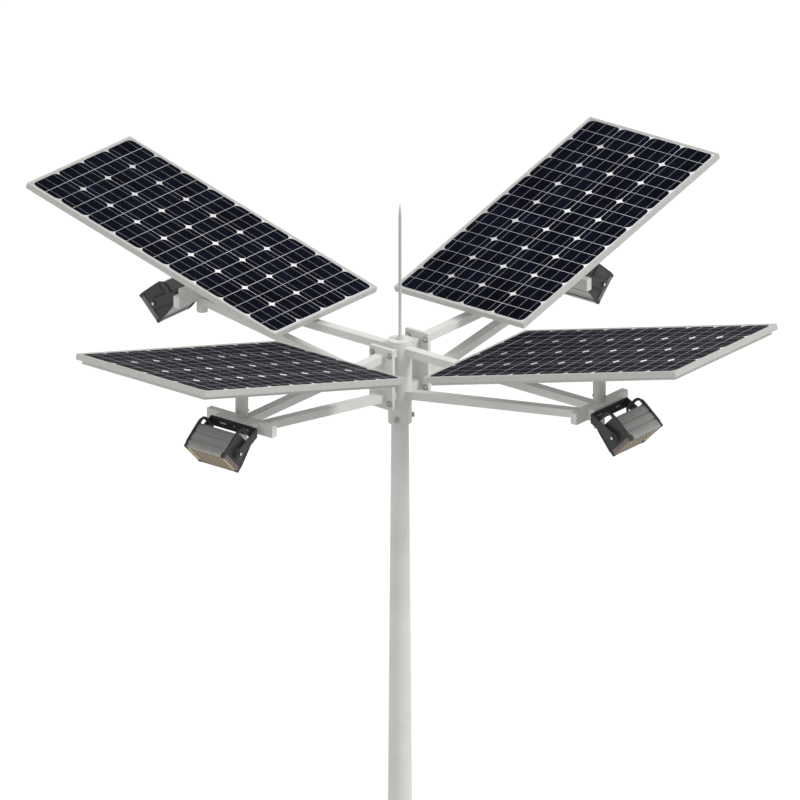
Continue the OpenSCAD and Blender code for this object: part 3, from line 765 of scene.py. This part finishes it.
def aim_camera():
    """A distant camera, nearly parallel: it looks along the view direction at the hub, then moves
    down in its own plane so that the whole head is in the frame."""
    azimuth, elevation = math.radians(38.403), math.radians(21.743)
    distance, width, lower = 150.0, 3.252, 0.2483
    back = Vector((math.sin(azimuth) * math.cos(elevation), -math.cos(azimuth) * math.cos(elevation),
                   math.sin(elevation)))
    up = (Vector((0, 0, 1)) - back * back.z).normalized()
    camera = bpy.data.objects.new("view_camera", bpy.data.cameras.new("view_camera"))
    bpy.context.scene.collection.objects.link(camera)
    camera.location = Vector((0, 0, HUB_TOP)) - up * lower + back * distance
    camera.rotation_euler = back.to_track_quat("Z", "Y").to_euler()
    camera.data.sensor_width = 36
    camera.data.lens = 36 * distance / width
    camera.data.clip_start = 1
    camera.data.clip_end = 1000
    bpy.context.scene.camera = camera


def white_for_sight(tree):
    """One for a ray from the camera, a mirror or a clear pane, and nought for light."""
    path = tree.nodes.new("ShaderNodeLightPath")
    first = node(tree, "ShaderNodeMath", operation="MAXIMUM")
    second = node(tree, "ShaderNodeMath", operation="MAXIMUM")
    tree.links.new(path.outputs["Is Camera Ray"], first.inputs[0])
    tree.links.new(path.outputs["Is Glossy Ray"], first.inputs[1])
    tree.links.new(first.outputs[0], second.inputs[0])
    tree.links.new(path.outputs["Is Transmission Ray"], second.inputs[1])
    return second.outputs[0]


def light_studio():
    scene = bpy.context.scene
    scene.view_settings.view_transform = "Standard"
    world = bpy.data.worlds.new("studio")
    world.use_nodes = True
    scene.world = world
    tree = world.node_tree
    tree.nodes.clear()
    soft = node(tree, "ShaderNodeBackground", Color=(1, 1, 1, 1), Strength=AMBIENT)
    seen = node(tree, "ShaderNodeBackground", Color=(1, 1, 1, 1), Strength=1.0)
    mix = tree.nodes.new("ShaderNodeMixShader")
    out = tree.nodes.new("ShaderNodeOutputWorld")
    tree.links.new(white_for_sight(tree), mix.inputs[0])
    tree.links.new(soft.outputs[0], mix.inputs[1])
    tree.links.new(seen.outputs[0], mix.inputs[2])
    tree.links.new(mix.outputs[0], out.inputs[0])
    for name, strength, spread_deg, azimuth, elevation in SUNS:
        lamp = bpy.data.lights.new(name, "SUN")
        lamp.energy = strength
        lamp.angle = math.radians(spread_deg)
        thing = bpy.data.objects.new(name, lamp)
        scene.collection.objects.link(thing)
        a, e = math.radians(azimuth), math.radians(elevation)
        toward = Vector((math.cos(a) * math.cos(e), math.sin(a) * math.cos(e), math.sin(e)))
        thing.rotation_euler = toward.to_track_quat("Z", "Y").to_euler()


def lay_floor():
    """A wide pale floor, seen almost white, that still takes the light's shadow."""
    mesh = bpy.data.meshes.new("floor")
    reach = 200
    mesh.from_pydata([(-reach, -reach, -0.001), (reach, -reach, -0.001), (reach, reach, -0.001),
                      (-reach, reach, -0.001)], [], [(0, 1, 2, 3)])
    floor = bpy.data.objects.new("floor", mesh)
    bpy.context.scene.collection.objects.link(floor)
    material = bpy.data.materials.new("pale_floor")
    material.use_nodes = True
    tree = material.node_tree
    shader = tree.nodes["Principled BSDF"]
    shader.inputs["Base Color"].default_value = (0.5, 0.5, 0.5, 1)
    shader.inputs["Roughness"].default_value = 1
    shader.inputs["Specular IOR Level"].default_value = 0
    glow = node(tree, "ShaderNodeEmission", Color=(1, 1, 1, 1), Strength=FLOOR_GLOW)
    both = tree.nodes.new("ShaderNodeAddShader")
    mix = tree.nodes.new("ShaderNodeMixShader")
    tree.links.new(glow.outputs[0], both.inputs[0])
    tree.links.new(shader.outputs[0], both.inputs[1])
    tree.links.new(white_for_sight(tree), mix.inputs[0])
    tree.links.new(shader.outputs[0], mix.inputs[1])
    tree.links.new(both.outputs[0], mix.inputs[2])
    side = tree.nodes.new("ShaderNodeNewGeometry")
    clear = tree.nodes.new("ShaderNodeBsdfTransparent")
    below = tree.nodes.new("ShaderNodeMixShader")
    tree.links.new(side.outputs["Backfacing"], below.inputs[0])
    tree.links.new(mix.outputs[0], below.inputs[1])
    tree.links.new(clear.outputs[0], below.inputs[2])
    tree.links.new(below.outputs[0], tree.nodes["Material Output"].inputs[0])
    mesh.materials.append(material)


def coat_nodes():
    """Gives every carried-over solid its finish."""
    finish = {"base_flange": MAST_WHITE, "base_gussets": MAST_WHITE, "mast_tube": MAST_WHITE,
              "service_cover": MAST_WHITE, "hub_sleeve": ARM_WHITE, "hub_cap": ARM_WHITE,
              "hub_set_screws": BOLT_GREY, "lightning_rod": ROD_GREY, "back_hub_stub": ARM_WHITE,
              "front_hub_stub": ARM_WHITE}
    for side in SIDES:
        finish.update({f"{side}_beam": ARM_WHITE, f"{side}_strut": ARM_WHITE,
                       f"{side}_crossbar": ARM_WHITE, f"{side}_panel_tray": FRAME_SILVER,
                       f"{side}_panel_frame": FRAME_SILVER, f"{side}_panel_laminate": BACKSHEET,
                       f"{side}_lamp_bracket": BLACK_COAT, f"{side}_lamp_housing": LAMP_SILVER,
                       f"{side}_lamp_end_plates": BLACK_COAT, f"{side}_lamp_light_module": LED_FRAME})
    for name, thing in NODES.items():
        for place in thing.material_slots:
            place.material = finish[name]
        if not thing.material_slots:
            thing.data.materials.append(finish[name])


def fit(piece, body, finish, *stands_for):
    """Joins a finished piece to its body and hides the solids it stands for. The finish argument is not used."""
    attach(piece, body)
    if stands_for:
        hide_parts(*stands_for)


aim_camera()
light_studio()
lay_floor()
coat_nodes()
for side in SIDES:
    lamp = f"{side}_lamp"
    fit(panel_face(side), "mast", "solar_laminate", f"{side}_panel_laminate")
    fit(junction_box(side), "mast", "black_paint")
    fit(panel_screws(side), "mast", "zinc")
    fit(lamp_body(side), lamp, "lamp_aluminium", f"{side}_lamp_housing")
    fit(end_rims(side), lamp, "black_paint")
    fit(pivot_screws(side), lamp, "zinc")
    fit(light_frame(side), lamp, "light_module", f"{side}_lamp_light_module")
    fit(corner_tabs(side), lamp, "black_paint")
    fit(lens_field(side), lamp, "light_module")
for side in BOLTED:
    fit(joint_bolts(side), "mast", "zinc")
fit(arm_welds(), "mast", "arm_paint")
fit(foot_welds(), "mast", "mast_paint")
fit(door_screws(), "mast", "zinc")
